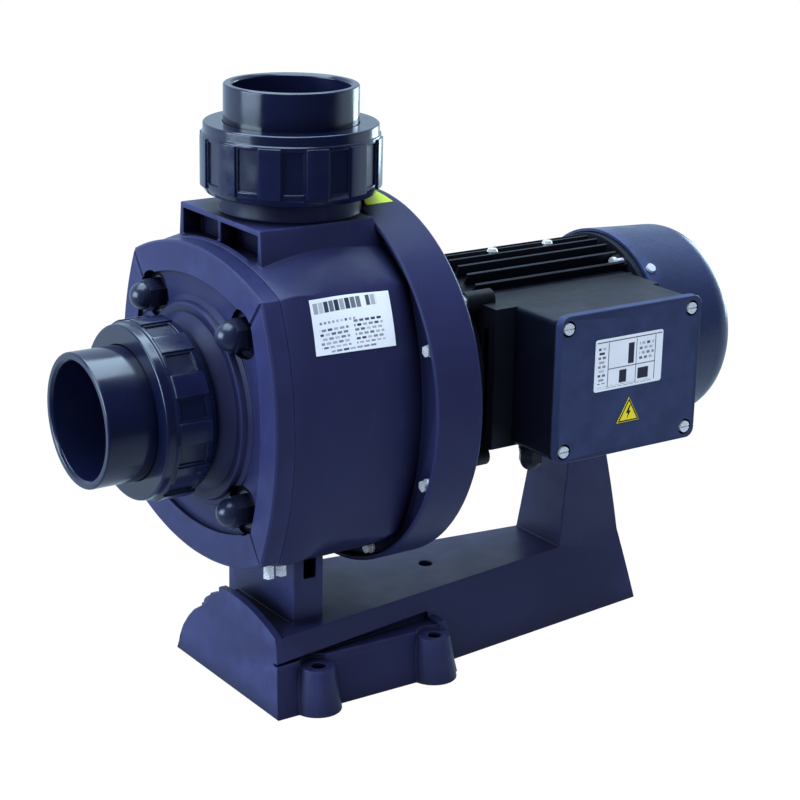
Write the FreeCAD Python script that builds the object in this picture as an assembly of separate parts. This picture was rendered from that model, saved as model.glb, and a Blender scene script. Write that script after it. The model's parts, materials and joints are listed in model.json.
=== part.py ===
import FreeCAD, Part
import math
import os

# Single-stage pool pump with a flat-sided casing, threaded pipe unions, a fan-cooled motor
# and a moulded stand.
# Millimetres. +X runs along the shaft from the suction pipe to the fan, +Z is up, the floor is Z = 0.
# The origin is on the floor, under the shaft, at the centre of the four foot holes.

# ---- driving dimensions ----
SHAFT_Z = 245.0          # height of the shaft above the floor
FIT = 0.05               # radial clearance of screws and turning fits
GAP = 0.3                # clearance between parts that move apart

# pipe unions (D90 solvent sockets)
SOCKET_R = 45.1
SOCKET_OD_R = 52.0
SOCKET_DEPTH = 51.0
SOCKET_STOP_R = 40.0
TAIL_COLLAR_R = 56.2
TAIL_LEN = 58.0          # all union stations are measured back from the socket mouth
SUCTION_NUT_FRONT = 40.0
DISCHARGE_NUT_FRONT = 29.0
NUT_BACK = 82.0
NUT_WEB = 8.5            # end wall of a nut, which pulls on the tail's collar
NUT_SHOULDER = 7.5
NUT_R = 70.4
NUT_EDGE_R = 67.5
NUT_BORE_R = 56.5
NUT_PANELS = 12
PANEL_RISE = 1.6
PANEL_HALF = 8.6
RECESS_HALF = 7.6
NECK_R = 56.0
NECK_ROOT_R = 54.0
THREAD_PITCH = 6.0
PASSAGE_R = 40.0
UNION_RING_R = 47.0      # O-ring in the sealing face of a neck

X_SUCTION = -221.0       # mouth of the suction socket
X_DISCHARGE = -35.4      # axis of the discharge neck
Z_DISCHARGE = 483.6      # mouth of the discharge socket

# front cover; an outline is half width, corner height, mid side, mid top and extra depth of the lower half
X_COVER = -121.0
X_JOINT = -105.0         # plane where the cover meets the casing
COVER_OUTLINE = (98.0, 100.0, 120.5, 122.0, 4.5)
FIELD_OUTLINE = (83.0, 80.0, 97.0, 98.0, 2.0)
COVER_FIELD = 4.0        # depth of the recessed field
NUT_Y = 67.0             # cover nuts
NUT_Z = 69.0
POCKET_R = 19.0
POCKET_FLOOR = -112.5
GROOVE_R = 1.4
CAP_HEX = 23.0           # across flats of a cap nut
CAP_HEX_HEIGHT = 14.5
CAP_DOME_R = 11.2
CAP_WASHER_T = 1.8
STUD_R = 5.0

# casing
CASING_REAR = 9.0
FLANGE_X = 17.0
FLANGE_R = 146.0
OPENING_R = 82.0
CHAMBER_R = 106.0
CHAMBER_X = -87.0
NECK_HALF = 60.0
NECK_TOP = 142.5         # above the shaft
NECK_ROOT = 85.0
NECK_POCKET_DEPTH = 16.0
NECK_POCKET_Z = 118.0
NECK_FRONT = -99.0
SCREW_R = 140.0          # bolt circle of the casing flange
SCREW_ANGLES = tuple(22.5 + 45.0 * k for k in range(8))
SCREW_SHANK_R = 3.0
SCREW_HEX = 8.0
SCREW_HEX_HEIGHT = 4.6
SCREW_FLANGE_R = 5.2
# station along X, then the outline there
CASING_SECTIONS = ((-105.0, 98.0, 100.0, 120.5, 122.5, 4.5), (-94.0, 100.0, 102.0, 121.0, 125.5, 4.5),
                   (-80.0, 100.0, 101.0, 121.5, 131.0, 3.0), (-30.0, 98.0, 98.5, 122.0, 138.0, 0.0),
                   (9.0, 97.0, 97.0, 120.0, 137.0, 0.0))

# seal housing, the large rear ring
RING_R = 150.0
RING_FRONT = 2.0
RING_REAR = 45.5
HUB_R = 85.0
PILOT_R = 55.0
SEAL_R = 17.0
RING_RIBS = 12
HOUSING_FLOOR_X = 27.0   # bottom of the ribbed recess behind the ring

# motor
SHIELD_REAR = 94.0
FRAME_REAR = 271.0
FRAME_R = 74.0
FRAME_BORE_R = 68.0
FIN_R = 84.0
FIN_T = 2.4
FIN_STEP = 9.0           # degrees
CORE_FRONT = 120.0
CORE_REAR = 230.0
STATOR_BORE_R = 41.0
SLOTS = 24
ROTOR_R = 40.5
BEARING_BORE_R = 12.5
BEARING_OD_R = 26.0
BEARING_W = 15.0
FRONT_BEARING_X = 70.0
REAR_BEARING_X = 266.0
BEARING_STATIONS = (FRONT_BEARING_X, REAR_BEARING_X)
SHAFT_R = 10.0
SHAFT_END = 326.0
EAR_R = 93.0             # circle of the screws that hold the front shield
EAR_ANGLES = (45.0, 135.0, 225.0, 315.0)
BRACKET_BOLT_R = 68.0    # circle of the bolts that hold the shield to the pump
REAR_SCREW_R = 80.0
REAR_SCREW_ANGLES = (62.0, 118.0, 242.0, 298.0)
FRAME_PLUG_X = (161.0, 219.0)
FOOT_BOLT_X = (243.0, 262.0)
FOOT_BOLT_R = 4.0
FOOT_BOLT_SUNK = 9.0

# fan and fan cover
COVER_RIM_X = 277.0
COVER_END_X = 369.0
COVER_R = 88.7
COVER_T = 2.0
COVER_ROUND = 26.0
COVER_TAPER = 3.7        # loss of radius from the rim to the rounded shoulder
COVER_SCREW_ANGLES = (48.5, 131.5, 228.5, 311.5)
COVER_SCREW_X = 284.0
GRILLE_RADII = (16.0, 25.0, 34.0, 43.0, 52.0)
GRILLE_SLOT = 5.0
FAN_X = 294.0
FAN_R = 76.0
FAN_BLADES = 8

# terminal box
PAD_Y = -92.0
BOX_X0 = 116.0
BOX_X1 = 259.0
BOX_Z0 = -50.0           # relative to the shaft
BOX_Z1 = 65.0
BOX_FRONT = -141.0
BOX_WALL = 2.4
BOX_BACK_T = 3.0
PAD_SCREW_X = (150.0, 226.0)
PAD_SCREW_Z = (-30.0, 46.0)
TERMINAL_X = (172.0, 190.0, 208.0)
TERMINAL_Z = (-2.0, 16.0)
LID_FRONT = -150.0
LID_X0 = 116.8
LID_X1 = 260.0
LID_Z0 = -51.5
LID_Z1 = 68.5
LID_SCREW_X = (123.8, 249.5)
LID_SCREW_Z = (-41.5, 58.5)
LID_SEAT_R = 6.4
LID_POST_R = 7.4
LID_TAB = 6.0
GASKET_T = 1.2
GLAND_X = 127.2
GLAND_Y = -104.5
GLAND_THREAD_R = 6.0
GLAND_NECK_R = 5.6
GLAND_BORE_R = 3.3

# base stand
FOOT_X = 56.0            # lug centres
FOOT_Y = 78.0
LUG_R = 20.0
LUG_TOP_R = 13.5
LUG_TOP = 37.0
LUG_HOLE_R = 5.5
LEDGE_Z = 42.0
RAIL_Z = 63.0
ARCH_Z = 77.5
BASE_FRONT = -95.0
BASE_REAR = 306.0
RAIL_FRONT = -89.0
PEDESTAL_FRONT = 216.0
PEDESTAL_HEAD_HALF = 27.0
PEDESTAL_X0 = -62.5
PEDESTAL_X1 = -35.0
PEDESTAL_HALF = 51.0
REAR_PEDESTAL_TOP = 149.0

V = FreeCAD.Vector
ORIGIN = V(0, 0, 0)
AXIS = V(0, 0, SHAFT_Z)
X_DIR = V(1, 0, 0)
Y_DIR = V(0, 1, 0)
Z_DIR = V(0, 0, 1)


# ---- helpers ----
def box(x0, x1, y0, y1, z0, z1):
    return Part.makeBox(x1 - x0, y1 - y0, z1 - z0, V(x0, y0, z0))


def pump_box(x0, x1, y0, y1, z0, z1):
    """A box whose heights are measured from the shaft."""
    return box(x0, x1, y0, y1, SHAFT_Z + z0, SHAFT_Z + z1)


def rod(radius, start, end):
    """A cylinder from one point to another."""
    along = V(*end) - V(*start)
    return Part.makeCylinder(radius, along.Length, V(*start), along)


def cone(radius_0, radius_1, start, end):
    along = V(*end) - V(*start)
    return Part.makeCone(radius_0, radius_1, along.Length, V(*start), along)


def polygon(points):
    return Part.Wire(Part.makePolygon([V(*p) for p in points + [points[0]]]))


def wedge(half_0, half_1, x0, x1, z):
    """A level outline with one half width at each end."""
    return polygon([(x0, -half_0, z), (x1, -half_1, z), (x1, half_1, z), (x0, half_0, z)])


def turned(profile, base=AXIS):
    """Turns a closed (x, r) outline about the shaft."""
    face = Part.Face(polygon([(x, 0, SHAFT_Z + r) for x, r in profile]))
    return face.revolve(base, X_DIR, 360)


def ring_x(x0, x1, inner, outer):
    return turned([(x0, inner), (x0, outer), (x1, outer), (x1, inner)])


def disc_x(x0, x1, radius):
    return rod(radius, (x0, 0, SHAFT_Z), (x1, 0, SHAFT_Z))


def fuse(shapes):
    first = shapes[0]
    return first.multiFuse(shapes[1:]).removeSplitter()


def cut(shape, tools):
    return shape.cut(tools)


def spin(shape, degrees, base=AXIS, direction=X_DIR):
    copy = shape.copy()
    copy.rotate(base, direction, degrees)
    return copy


def around(shape, count, first=0.0, base=AXIS, direction=X_DIR):
    return [spin(shape, first + 360.0 * k / count, base, direction) for k in range(count)]


def moved(shape, x, y, z):
    copy = shape.copy()
    copy.translate(V(x, y, z))
    return copy


def hex_prism(across_flats, start, direction, height):
    corner = across_flats / math.sqrt(3.0)
    points = [(corner * math.cos(math.radians(60 * k)), corner * math.sin(math.radians(60 * k)), 0.0)
              for k in range(6)]
    prism = Part.Face(polygon(points)).extrude(V(0, 0, height))
    prism.Placement = FreeCAD.Placement(V(*start), FreeCAD.Rotation(Z_DIR, V(*direction)))
    return prism


def polar(radius, degrees):
    """(y, z) of a point round the shaft; z is absolute."""
    angle = math.radians(degrees)
    return radius * math.cos(angle), SHAFT_Z + radius * math.sin(angle)


def save(name, *solids):
    shape = solids[0] if len(solids) == 1 else Part.makeCompound(list(solids))
    shape.exportStep(os.path.join("parts", name + ".step"))


# ---- pipe unions: built with the mouth at the origin, the axis along +Z and the pump below ----
def union_tail(nut_front):
    collar_top = -nut_front - NUT_WEB
    outline = [(SOCKET_R + 2.0, 0), (SOCKET_OD_R - 1.0, 0), (SOCKET_OD_R, -1.0),
               (SOCKET_OD_R, collar_top), (TAIL_COLLAR_R, collar_top),
               (TAIL_COLLAR_R, -TAIL_LEN), (SOCKET_STOP_R, -TAIL_LEN),
               (SOCKET_STOP_R, -SOCKET_DEPTH), (SOCKET_R, -SOCKET_DEPTH), (SOCKET_R, -2.0)]
    face = Part.Face(polygon([(r, 0, z) for r, z in outline]))
    return face.revolve(ORIGIN, Z_DIR, 360)


def union_nut(nut_front):
    front = -nut_front
    back = -NUT_BACK
    web = front - NUT_WEB + GAP
    shoulder = front - NUT_SHOULDER
    drum_r = NUT_R - PANEL_RISE
    bore_r = SOCKET_OD_R + 0.4
    outline = [(bore_r, front), (NUT_EDGE_R - 1.0, front), (NUT_EDGE_R, front - 1.0), (NUT_EDGE_R, shoulder),
               (drum_r, shoulder - 1.0), (drum_r, back + 6.0), (drum_r - 3.0, back), (NUT_BORE_R, back),
               (NUT_BORE_R, web), (bore_r, web)]
    face = Part.Face(polygon([(r, 0, z) for r, z in outline]))
    body = face.revolve(ORIGIN, Z_DIR, 360)
    # raised grip panels stand round the nut, with a recess between each two
    panel = box(drum_r - 2.0, NUT_R + 1.0, -PANEL_HALF, PANEL_HALF, back + 5.5, shoulder - 2.0)
    shell = Part.makeCylinder(NUT_R, NUT_BACK, V(0, 0, back)).cut(
        Part.makeCylinder(drum_r - 0.5, NUT_BACK, V(0, 0, back)))
    panels = [p.common(shell) for p in around(panel, NUT_PANELS, 15.0, ORIGIN, Z_DIR)]
    recess = box(drum_r - 1.8, NUT_R + 2.0, -RECESS_HALF, RECESS_HALF, back + 9.5, shoulder - 4.0)
    return cut(fuse([body] + panels), around(recess, NUT_PANELS, 0.0, ORIGIN, Z_DIR))


def union_o_ring():
    circle = Part.Wire(Part.makeCircle(2.3, V(UNION_RING_R, 0, -TAIL_LEN - GAP - 2.35), Y_DIR))
    return Part.Face(circle).revolve(ORIGIN, Z_DIR, 360)


def union_neck(length):
    """The threaded neck under a union, from its sealing face down."""
    top = -TAIL_LEN - GAP
    bottom = top - length
    outline = [(PASSAGE_R, top), (NECK_ROOT_R - 1.0, top), (NECK_ROOT_R, top - 1.0)]
    z = top - 3.0
    while z - THREAD_PITCH > -NUT_BACK - 5.0:
        outline += [(NECK_ROOT_R, z), (NECK_R, z - 1.6), (NECK_R, z - 3.0), (NECK_ROOT_R, z - 4.6)]
        z -= THREAD_PITCH
    outline += [(NECK_ROOT_R, bottom), (PASSAGE_R, bottom)]
    face = Part.Face(polygon([(r, 0, h) for r, h in outline]))
    neck = face.revolve(ORIGIN, Z_DIR, 360)
    groove = Part.makeCylinder(UNION_RING_R + 2.5, 4.7, V(0, 0, top - 4.7)).cut(
        Part.makeCylinder(UNION_RING_R - 2.5, 4.7, V(0, 0, top - 4.7)))
    return neck.cut(groove)


def at_suction(shape):
    copy = shape.copy()
    copy.Placement = FreeCAD.Placement(V(X_SUCTION, 0, SHAFT_Z), FreeCAD.Rotation(Y_DIR, -90))
    return copy


def at_discharge(shape):
    return moved(shape, X_DISCHARGE, 0, Z_DISCHARGE)


# ---- flat-sided outlines ----
def section_wire(x, outline, grow=0.0):
    """A four-cornered outline with bulging sides, square to the shaft."""
    half, corner, mid_side, mid_top = (value + grow for value in outline[:4])
    drop = outline[4]
    z = SHAFT_Z
    low = z - corner - drop
    top = Part.Arc(V(x, -half, z + corner), V(x, 0, z + mid_top), V(x, half, z + corner)).toShape()
    right = Part.Arc(V(x, half, z + corner), V(x, mid_side, z - drop / 2), V(x, half, low)).toShape()
    bottom = Part.Arc(V(x, half, low), V(x, 0, z - mid_top - drop), V(x, -half, low)).toShape()
    left = Part.Arc(V(x, -half, low), V(x, -mid_side, z - drop / 2), V(x, -half, z + corner)).toShape()
    return Part.Wire([top, right, bottom, left])


def drum(grow=0.0):
    sections = [section_wire(station[0], station[1:], grow) for station in CASING_SECTIONS]
    return Part.makeLoft(sections, True, False)


def nut_points():
    return [(sy * NUT_Y, SHAFT_Z + sz * NUT_Z) for sy in (-1, 1) for sz in (-1, 1)]


# ---- wet end ----
def make_front_cover():
    sections = [section_wire(X_COVER, COVER_OUTLINE, -1.5), section_wire(X_COVER + 2.0, COVER_OUTLINE),
                section_wire(X_JOINT, COVER_OUTLINE)]
    body = Part.makeLoft(sections, True, True)
    field = Part.Face(section_wire(X_COVER - 1.0, FIELD_OUTLINE)).extrude(V(1.0 + COVER_FIELD, 0, 0))
    body = body.cut(field)
    boss = turned([(X_COVER + 2.0, PASSAGE_R), (-137.0, PASSAGE_R), (-137.0, 58.5), (-133.0, 63.0),
                   (-124.0, 69.5), (-124.5, 71.0), (-124.5, 76.0), (-123.5, 77.0), (-119.5, 78.0),
                   (-118.0, 82.0), (X_COVER + 6.0, 83.0), (X_COVER + 6.0, PASSAGE_R)])
    spigot = ring_x(X_JOINT - 0.5, X_JOINT + 8.0, PASSAGE_R, OPENING_R - 0.2)
    neck_length = X_COVER + 1.0 - (X_SUCTION + TAIL_LEN + GAP)
    neck = at_suction(union_neck(neck_length))
    body = fuse([body, boss, spigot, neck])
    tools = [disc_x(X_COVER - 60.0, X_JOINT + 10.0, PASSAGE_R)]
    for y, z in nut_points():
        tools.append(rod(POCKET_R, (X_COVER - 10.0, y, z), (POCKET_FLOOR, y, z)))
        tools.append(rod(STUD_R + FIT, (POCKET_FLOOR - 1.0, y, z), (X_JOINT + 1.0, y, z)))
    tools += mitre_grooves()
    # flow-side land that holds the inlet cone
    tools.append(disc_x(X_JOINT + 2.0, X_JOINT + 8.0, 50.0))
    return cut(body, tools)


def mitre_grooves():
    """A shallow groove across the rim at each corner, from the field out to the edge."""
    outer_y, outer_z = COVER_OUTLINE[0] + 1.0, COVER_OUTLINE[1] + 1.0
    inner_y, inner_z = FIELD_OUTLINE[0] - 1.0, FIELD_OUTLINE[1] - 1.0
    grooves = []
    for sy in (-1, 1):
        for sz, outer_drop, inner_drop in ((1, 0.0, 0.0), (-1, COVER_OUTLINE[4], FIELD_OUTLINE[4])):
            start = (X_COVER, sy * outer_y, SHAFT_Z + sz * (outer_z + outer_drop))
            end = (X_COVER, sy * inner_y, SHAFT_Z + sz * (inner_z + inner_drop))
            grooves.append(rod(GROOVE_R, start, end))
    return grooves


def make_cover_studs():
    return [rod(STUD_R, (X_JOINT - 17.0, y, z), (X_JOINT + 12.0, y, z)) for y, z in nut_points()]


def make_cap_nuts():
    nuts = []
    seat = POCKET_FLOOR - CAP_WASHER_T
    for y, z in nut_points():
        washer = rod(14.5, (POCKET_FLOOR, y, z), (seat, y, z))
        base = hex_prism(CAP_HEX, (seat, y, z), (-1, 0, 0), CAP_HEX_HEIGHT)
        dome = Part.makeSphere(CAP_DOME_R, V(seat - CAP_HEX_HEIGHT, y, z))
        dome = dome.common(box(X_COVER - 30.0, seat - 1.0, y - 15.0, y + 15.0, z - 15.0, z + 15.0))
        nut = fuse([washer, base, dome])
        nuts.append(nut.cut(rod(STUD_R + FIT, (POCKET_FLOOR + 1.0, y, z), (X_JOINT - 17.2, y, z))))
    return nuts


def make_cover_o_ring():
    circle = Part.Wire(Part.makeCircle(1.9, V(X_JOINT + 2.4, 0, SHAFT_Z + OPENING_R + 3.5), Y_DIR))
    return Part.Face(circle).revolve(AXIS, X_DIR, 360)


def make_inlet_cone():
    """The guide that carries water from the suction neck to the eye of the impeller."""
    return turned([(X_JOINT + 2.1, 34.5), (X_JOINT + 2.1, 49.9), (X_JOINT + 6.0, 49.9),
                   (X_JOINT + 8.0, 44.0),
                   (-66.0, 42.0), (-60.0, 46.0), (-44.0, 46.0), (-44.0, 41.05), (-58.5, 41.05),
                   (-58.5, 34.5)])


def make_wear_ring():
    return ring_x(-58.0, -46.0, 38.4, 41.0)


def neck_block():
    """The squared block that carries the discharge neck, with its open front pocket."""
    bottom = wedge(NECK_HALF + 5.0, NECK_HALF + 12.0, NECK_FRONT, CASING_REAR, SHAFT_Z + NECK_ROOT)
    top = wedge(NECK_HALF, NECK_HALF, NECK_FRONT, CASING_REAR, SHAFT_Z + NECK_TOP)
    block = Part.makeLoft([bottom, top], True, True)
    return block.cut(ring_x(RING_FRONT - GAP, FLANGE_X, FLANGE_R + GAP, 200.0))


def make_casing():
    outer = drum()
    flange = disc_x(CASING_REAR, FLANGE_X, FLANGE_R)
    neck_length = Z_DISCHARGE - TAIL_LEN - GAP - (SHAFT_Z + NECK_TOP - 2.0)
    neck = at_discharge(union_neck(neck_length))
    collar_z = SHAFT_Z + NECK_TOP
    collar = cone(55.8, NECK_ROOT_R, (X_DISCHARGE, 0, collar_z - 0.5), (X_DISCHARGE, 0, collar_z + 5.0))
    body = fuse([outer, neck_block(), flange, collar, neck])
    tools = [disc_x(X_JOINT - 1.0, CHAMBER_X + 1.0, OPENING_R),
             disc_x(CHAMBER_X, FLANGE_X + 1.0, CHAMBER_R),
             rod(PASSAGE_R, (X_DISCHARGE, 0, SHAFT_Z + 80.0), (X_DISCHARGE, 0, Z_DISCHARGE))]
    # front pocket under the neck, split by a web
    for y0, y1 in ((2.0, NECK_HALF - 4.0), (-NECK_HALF + 3.5, -2.0)):
        tools.append(pump_box(NECK_FRONT - 1.0, NECK_FRONT + NECK_POCKET_DEPTH, y0, y1, NECK_POCKET_Z,
                              NECK_TOP - 4.5))
    for angle in SCREW_ANGLES:
        y, z = polar(SCREW_R, angle)
        tools.append(rod(SCREW_SHANK_R + FIT, (CASING_REAR - 6.0, y, z), (FLANGE_X + 1.0, y, z)))
        if not is_top(angle):
            tools.append(rod(7.6, (CASING_REAR - 9.0, y, z), (CASING_REAR, y, z)))
    for y, z in nut_points():
        tools.append(rod(STUD_R + FIT, (X_JOINT - 1.0, y, z), (X_JOINT + 12.2, y, z)))
    tools.append(ring_x(X_JOINT - 1.0, X_JOINT + 4.4, OPENING_R - 1.0, OPENING_R + 5.6))
    for x, y in plug_points():
        tools.append(rod(4.0 + FIT, (x, y, SHAFT_Z - 130.0), (x, y, SHAFT_Z - 95.0)))
    return cut(body, tools)


def plug_points():
    return [(-101.0, -77.0), (-90.0, -77.0)]


def make_casing_plugs():
    plugs = []
    for x, y in plug_points():
        shank = rod(4.0, (x, y, SHAFT_Z - 119.0), (x, y, SHAFT_Z - 100.0))
        head = hex_prism(8.0, (x, y, SHAFT_Z - 119.0), (0, 0, -1), 5.0)
        plugs.append(fuse([shank, head]))
    return plugs


def seal_housing_ribs():
    rib = pump_box(HOUSING_FLOOR_X, RING_REAR - 3.0, -1.75, 1.75, HUB_R - 3.0, RING_R - 4.0)
    return around(rib, RING_RIBS, 15.0)


def make_seal_housing():
    shell = turned([(RING_FRONT, FLANGE_R + 0.6), (RING_FRONT, RING_R - 1.2), (RING_FRONT + 1.2, RING_R),
                    (RING_REAR - 3.0, RING_R), (RING_REAR, RING_R - 3.0), (RING_REAR, RING_R - 6.0),
                    (HOUSING_FLOOR_X, RING_R - 6.0), (HOUSING_FLOOR_X, HUB_R), (RING_REAR, HUB_R),
                    (RING_REAR, PILOT_R + 0.1),
                    (36.0, PILOT_R + 0.1), (36.0, 26.0), (28.0, 24.0), (28.0, SHAFT_R + 2.0),
                    (25.2, SHAFT_R + 2.0), (25.2, 20.3), (FLANGE_X, 20.3), (FLANGE_X, FLANGE_R + 0.6)])
    body = fuse([shell] + seal_housing_ribs())
    tools = [ring_x(FLANGE_X - 1.0, FLANGE_X + 3.2, 109.0, 113.6)]
    # notch that clears the discharge neck
    tools.append(rod(NECK_R + GAP, (X_DISCHARGE, 0, SHAFT_Z + 130.0),
                     (X_DISCHARGE, 0, SHAFT_Z + RING_R + 5.0)))
    for angle in SCREW_ANGLES:
        y, z = polar(SCREW_R, angle)
        tools.append(rod(SCREW_SHANK_R + FIT, (FLANGE_X - 1.0, y, z), (HOUSING_FLOOR_X + 1.0, y, z)))
        if is_top(angle):
            tools.append(rod(5.8, (HOUSING_FLOOR_X, y, z), (40.0, y, z)))
    for angle in EAR_ANGLES:
        y, z = polar(BRACKET_BOLT_R, angle)
        tools.append(rod(4.0 + FIT, (30.0, y, z), (RING_REAR + 1.0, y, z)))
    return cut(body, tools)


def is_top(angle):
    """The two screws under the neck block go in from the motor side."""
    return abs(angle - 90.0) < 30.0


def make_housing_o_ring():
    circle = Part.Wire(Part.makeCircle(1.55, V(FLANGE_X + 1.6, 0, SHAFT_Z + 111.3), Y_DIR))
    return Part.Face(circle).revolve(AXIS, X_DIR, 360)


def make_housing_screws():
    screws = []
    for angle in SCREW_ANGLES:
        y, z = polar(SCREW_R, angle)
        if not is_top(angle):
            shank = rod(SCREW_SHANK_R, (CASING_REAR - 1.6, y, z), (HOUSING_FLOOR_X - 0.5, y, z))
            head = hex_prism(SCREW_HEX, (CASING_REAR - 1.4, y, z), (-1, 0, 0), SCREW_HEX_HEIGHT)
            flange = rod(SCREW_FLANGE_R, (CASING_REAR, y, z), (CASING_REAR - 1.5, y, z))
        else:
            shank = rod(SCREW_SHANK_R, (CASING_REAR - 5.5, y, z), (HOUSING_FLOOR_X + 1.6, y, z))
            head = hex_prism(SCREW_HEX, (HOUSING_FLOOR_X + 1.4, y, z), (1, 0, 0), SCREW_HEX_HEIGHT)
            flange = rod(SCREW_FLANGE_R, (HOUSING_FLOOR_X, y, z), (HOUSING_FLOOR_X + 1.5, y, z))
        screws.append(fuse([shank, head, flange]))
    return screws


# ---- impeller and shaft seal ----
def passage_solid():
    """The water space between the impeller shrouds, over-size so that the blades root in them."""
    return turned([(-39.0, 21.0), (-37.0, 40.0), (-26.5, 75.0), (-8.5, 75.0), (-8.5, 30.0), (-12.0, 21.0)])


def impeller_blade():
    """One backward-curved blade, an arc strip swept along the shaft."""
    outer = Part.Arc(V(-41, 20, SHAFT_Z), V(-41, 42, SHAFT_Z + 27), V(-41, 33, SHAFT_Z + 69)).toShape()
    inner = Part.Arc(V(-41, 30.5, SHAFT_Z + 70.5), V(-41, 38.5, SHAFT_Z + 28.5),
                     V(-41, 18, SHAFT_Z + 2.5)).toShape()
    tip = Part.LineSegment(V(-41, 33, SHAFT_Z + 69), V(-41, 30.5, SHAFT_Z + 70.5)).toShape()
    root = Part.LineSegment(V(-41, 18, SHAFT_Z + 2.5), V(-41, 20, SHAFT_Z)).toShape()
    strip = Part.Face(Part.Wire([outer, tip, inner, root])).extrude(V(36, 0, 0))
    return strip.common(passage_solid())


def make_impeller():
    hub = ring_x(-36.0, -4.0, 9.02, 17.0)
    back = turned([(-36.0, 16.5), (-33.0, 18.0), (-14.0, 24.0), (-10.0, 34.0), (-9.0, FAN_R - 0.5),
                   (-5.0, FAN_R - 0.5), (-5.0, 16.5)])
    front = turned([(-57.0, 33.5), (-57.0, 38.0), (-40.0, 38.0), (-37.5, 42.0), (-30.0, FAN_R - 0.5),
                    (-26.0, FAN_R - 0.5), (-34.5, 41.0), (-41.0, 33.5)])
    blades = around(impeller_blade(), 6)
    return cut(fuse([hub, back, front] + blades), [impeller_key_slot(0.05)])


def impeller_key_slot(grow):
    return pump_box(-28.0, -10.0, -2.5 - grow, 2.5 + grow, 6.5 - grow, 11.5 + grow)


def make_impeller_nut():
    nut = hex_prism(19.0, (-36.0, 0, SHAFT_Z), (-1, 0, 0), 9.0)
    dome = Part.makeSphere(9.0, V(-45.0, 0, SHAFT_Z)).common(
        pump_box(-60.0, -44.0, -10.0, 10.0, -10.0, 10.0))
    return fuse([nut, dome]).cut(disc_x(-35.0, -47.2, 6.0 + FIT))


def make_shaft():
    body = turned([(-47.0, 0), (-47.0, 6.0), (-33.0, 6.0), (-33.0, 9.0), (-4.0, 9.0), (-4.0, SHAFT_R),
                   (62.0, SHAFT_R), (62.0, 14.5), (FRONT_BEARING_X, 14.5),
                   (FRONT_BEARING_X, BEARING_BORE_R - 0.02),
                   (FRONT_BEARING_X + BEARING_W, BEARING_BORE_R - 0.02), (90.0, 15.0), (112.0, 15.0),
                   (112.0, 17.0), (238.0, 17.0), (238.0, 15.0), (REAR_BEARING_X, 15.0),
                   (REAR_BEARING_X, BEARING_BORE_R - 0.02), (286.0, BEARING_BORE_R - 0.02),
                   (286.0, SHAFT_R - FIT), (SHAFT_END - 1.0, SHAFT_R - FIT),
                   (SHAFT_END, SHAFT_R - 1.0), (SHAFT_END, 0)])
    circlip_groove = ring_x(320.5, 321.9, SHAFT_R - 1.0, SHAFT_R + 1.0)
    return cut(body, [impeller_key_slot(0.05), circlip_groove])


def make_seal_spring():
    """Four turns of round wire between the impeller hub and the carbon head."""
    pitch = 2.4
    radius = 13.4
    wire_r = 0.75
    turns = 4.0
    helix = Part.makeHelix(pitch, pitch * turns, radius)
    start = Part.Wire(Part.makeCircle(wire_r, V(radius, 0, 0), Y_DIR))
    coil = Part.Wire(helix).makePipeShell([start], True, True)
    coil.Placement = FreeCAD.Placement(V(-3.1, 0, SHAFT_Z), FreeCAD.Rotation(Y_DIR, 90))
    return coil


# ---- motor ----
def bearing_outer(x):
    body = ring_x(x, x + BEARING_W, 21.6, BEARING_OD_R)
    return body.cut(ball_track(x, 19.25, 4.05))


def bearing_inner(x):
    body = ring_x(x, x + BEARING_W, BEARING_BORE_R, 16.9)
    return body.cut(ball_track(x, 19.25, 4.05))


def ball_track(x, pitch_r, ball_r):
    circle = Part.Wire(Part.makeCircle(ball_r, V(x + BEARING_W / 2, 0, SHAFT_Z + pitch_r), Y_DIR))
    return Part.Face(circle).revolve(AXIS, X_DIR, 360)


def bearing_balls(x):
    ball = Part.makeSphere(3.98, V(x + BEARING_W / 2, 0, SHAFT_Z + 19.25))
    return around(ball, 9)


def make_front_shield():
    body = turned([(41.8, 45.0), (41.8, PILOT_R), (RING_REAR, PILOT_R), (RING_REAR, 80.0), (55.0, 80.0),
                   (56.0, 62.0), (66.0, 60.0), (82.0, 78.0), (86.0, 84.0), (SHIELD_REAR, 84.0),
                   (SHIELD_REAR, FRAME_BORE_R - 0.1), (98.0, FRAME_BORE_R - 0.1), (98.0, 62.0), (88.0, 62.0),
                   (80.0, 40.0), (85.2, 32.0), (85.2, BEARING_OD_R + 0.02),
                   (FRONT_BEARING_X, BEARING_OD_R + 0.02), (FRONT_BEARING_X, 17.0), (64.0, 17.0),
                   (61.0, 34.0), (50.0, 45.0)])
    ears = []
    for angle in EAR_ANGLES:
        y, z = polar(EAR_R, angle)
        lug = rod(8.0, (84.0, y, z), (SHIELD_REAR, y, z))
        web = spin(pump_box(84.0, SHIELD_REAR, 76.0, EAR_R, -8.0, 8.0), angle)
        ears += [lug, web]
    body = fuse([body] + ears)
    tools = []
    for angle in EAR_ANGLES:
        y, z = polar(EAR_R, angle)
        tools.append(rod(3.0 + FIT, (80.0, y, z), (SHIELD_REAR + 1.0, y, z)))
        y, z = polar(BRACKET_BOLT_R, angle)
        tools.append(rod(4.0 + FIT, (RING_REAR - 1.0, y, z), (58.0, y, z)))
        tools.append(rod(9.0, (55.0, y, z), (74.0, y, z)))
    return cut(body, tools)


def make_bracket_bolts():
    bolts = []
    for angle in EAR_ANGLES:
        y, z = polar(BRACKET_BOLT_R, angle)
        shank = rod(4.0, (30.5, y, z), (55.6, y, z))
        head = hex_prism(13.0, (55.0, y, z), (1, 0, 0), 5.5)
        bolts.append(fuse([shank, head]))
    return bolts


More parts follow.
